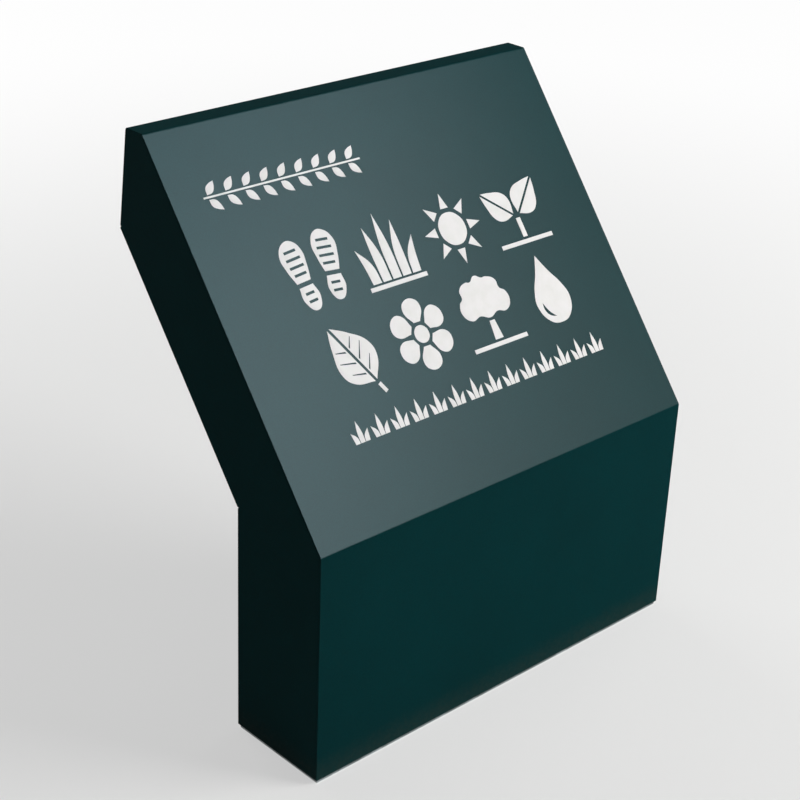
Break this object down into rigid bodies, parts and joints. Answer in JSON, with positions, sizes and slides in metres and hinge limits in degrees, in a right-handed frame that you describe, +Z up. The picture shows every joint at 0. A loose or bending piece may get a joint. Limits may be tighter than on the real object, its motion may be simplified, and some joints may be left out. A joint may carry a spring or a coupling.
{
  "type": "lawn sign",
  "caption": "Low lawn sign: a folded steel body with an upright plinth and a deep slab leaning back, unlettered, over a bolted tube frame and base plate.",
  "frame": {"origin": "middle of the bounding box, on the ground under the base plate", "axes": "+Z up, the plinth's front and the leaning face look towards -Y, +X along the width"},
  "size_m": [0.5, 0.297, 0.5769],
  "materials": {
    "teal_powder_coat": "satin",
    "galvanised_steel": "matte",
    "stainless_steel": "satin",
    "white_vinyl_film": "satin"
  },
  "bodies": {
    "root": {"arm_left": "galvanised_steel", "arm_right": "galvanised_steel", "base_plate": "galvanised_steel", "cross_rail": "galvanised_steel", "end_lip_strip": "galvanised_steel", "foot_gusset_left_inner": "galvanised_steel", "foot_gusset_left_outer": "galvanised_steel", "foot_gusset_right_inner": "galvanised_steel", "foot_gusset_right_outer": "galvanised_steel", "front_sill": "galvanised_steel", "front_skin": "teal_powder_coat", "knee_plate_left": "galvanised_steel", "knee_plate_right": "galvanised_steel", "lower_face_stiffener": "galvanised_steel", "plinth_rivet_nut_left_1": "galvanised_steel", "plinth_rivet_nut_left_2": "galvanised_steel", "plinth_rivet_nut_right_1": "galvanised_steel", "plinth_rivet_nut_right_2": "galvanised_steel", "plinth_screw_left_1": "stainless_steel", "plinth_screw_left_2": "stainless_steel", "plinth_screw_right_1": "stainless_steel", "plinth_screw_right_2": "stainless_steel", "plinth_stiffener": "galvanised_steel", "post_left": "galvanised_steel", "post_right": "galvanised_steel", "rear_knee_strip": "galvanised_steel", "rear_plinth_cover": "teal_powder_coat", "rear_sill": "galvanised_steel", "rear_slope_cover": "teal_powder_coat", "side_panel_left": "teal_powder_coat", "side_panel_right": "teal_powder_coat", "sill_bolt_front_left": "galvanised_steel", "sill_bolt_front_right": "galvanised_steel", "sill_bolt_rear_left": "galvanised_steel", "sill_bolt_rear_right": "galvanised_steel", "slope_rivet_nut_left_1": "galvanised_steel", "slope_rivet_nut_left_2": "galvanised_steel", "slope_rivet_nut_left_3": "galvanised_steel", "slope_rivet_nut_right_1": "galvanised_steel", "slope_rivet_nut_right_2": "galvanised_steel", "slope_rivet_nut_right_3": "galvanised_steel", "slope_screw_left_1": "stainless_steel", "slope_screw_left_2": "stainless_steel", "slope_screw_left_3": "stainless_steel", "slope_screw_right_1": "stainless_steel", "slope_screw_right_2": "stainless_steel", "slope_screw_right_3": "stainless_steel", "upper_face_stiffener": "galvanised_steel"}
  },
  "joints": []
}
